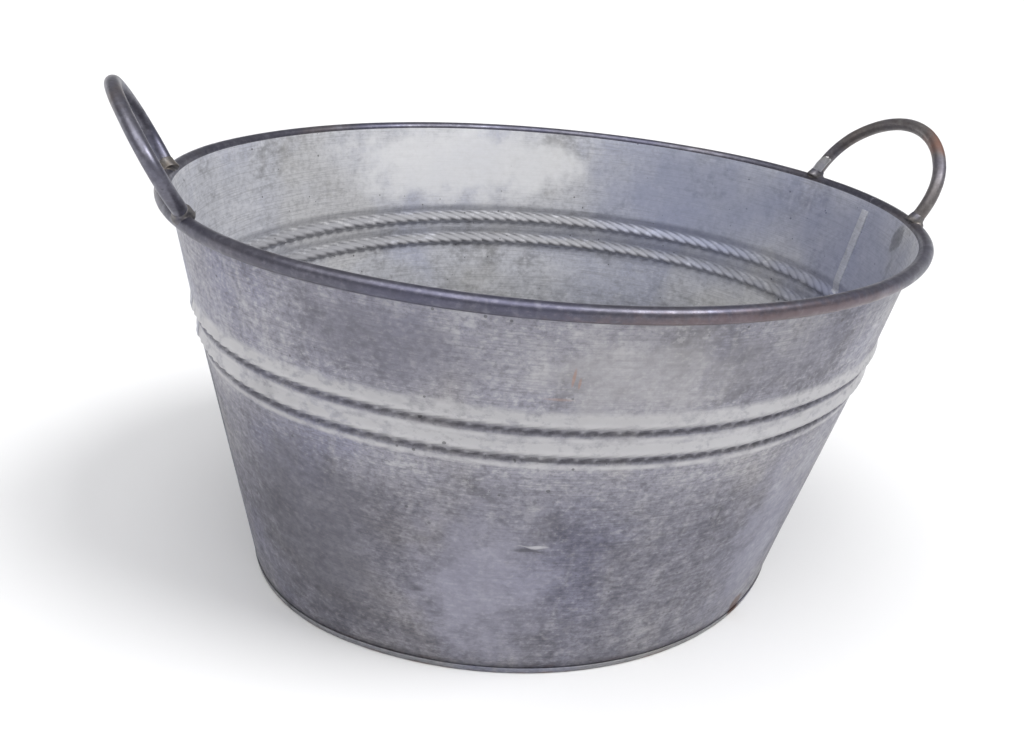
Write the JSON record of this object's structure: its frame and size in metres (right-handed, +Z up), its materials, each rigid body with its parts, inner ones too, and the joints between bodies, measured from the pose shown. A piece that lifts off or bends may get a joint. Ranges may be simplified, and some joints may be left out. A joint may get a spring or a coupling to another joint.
{
  "type": "wash tub",
  "caption": "Oval galvanised wash tub with sloping walls, a rolled rim, two roped swages, a flat bottom and two fixed loop handles on the rim's ends.",
  "frame": {"origin": "centre of the tub's footprint, on the plane that it stands on", "axes": "+Z up; +X along the tub's length to the right handle; -Y to the front half-sheet"},
  "size_m": [0.64, 0.5086, 0.3817],
  "materials": {
    "wall_sheet": "weathered galvanised sheet steel, dull patchy grey",
    "bottom_sheet": "weathered galvanised sheet steel, dull grey with stains",
    "rim_wire": "bare drawn iron wire",
    "handle_rod": "hot-dip galvanised iron rod, worn dark at the grip with a little rust",
    "braze": "dull, tarnished braze",
    "strap_sheet": "torn galvanised sheet with a bright edge"
  },
  "bodies": {
    "root": {"body_front": "wall_sheet", "body_rear": "wall_sheet", "bottom": "bottom_sheet", "rim_wire": "rim_wire", "handle_left": "handle_rod", "handle_right": "handle_rod", "weld_left_front": "braze", "weld_left_rear": "braze", "weld_right_front": "braze", "weld_right_rear": "braze", "foot_strap": "strap_sheet"}
  },
  "joints": []
}
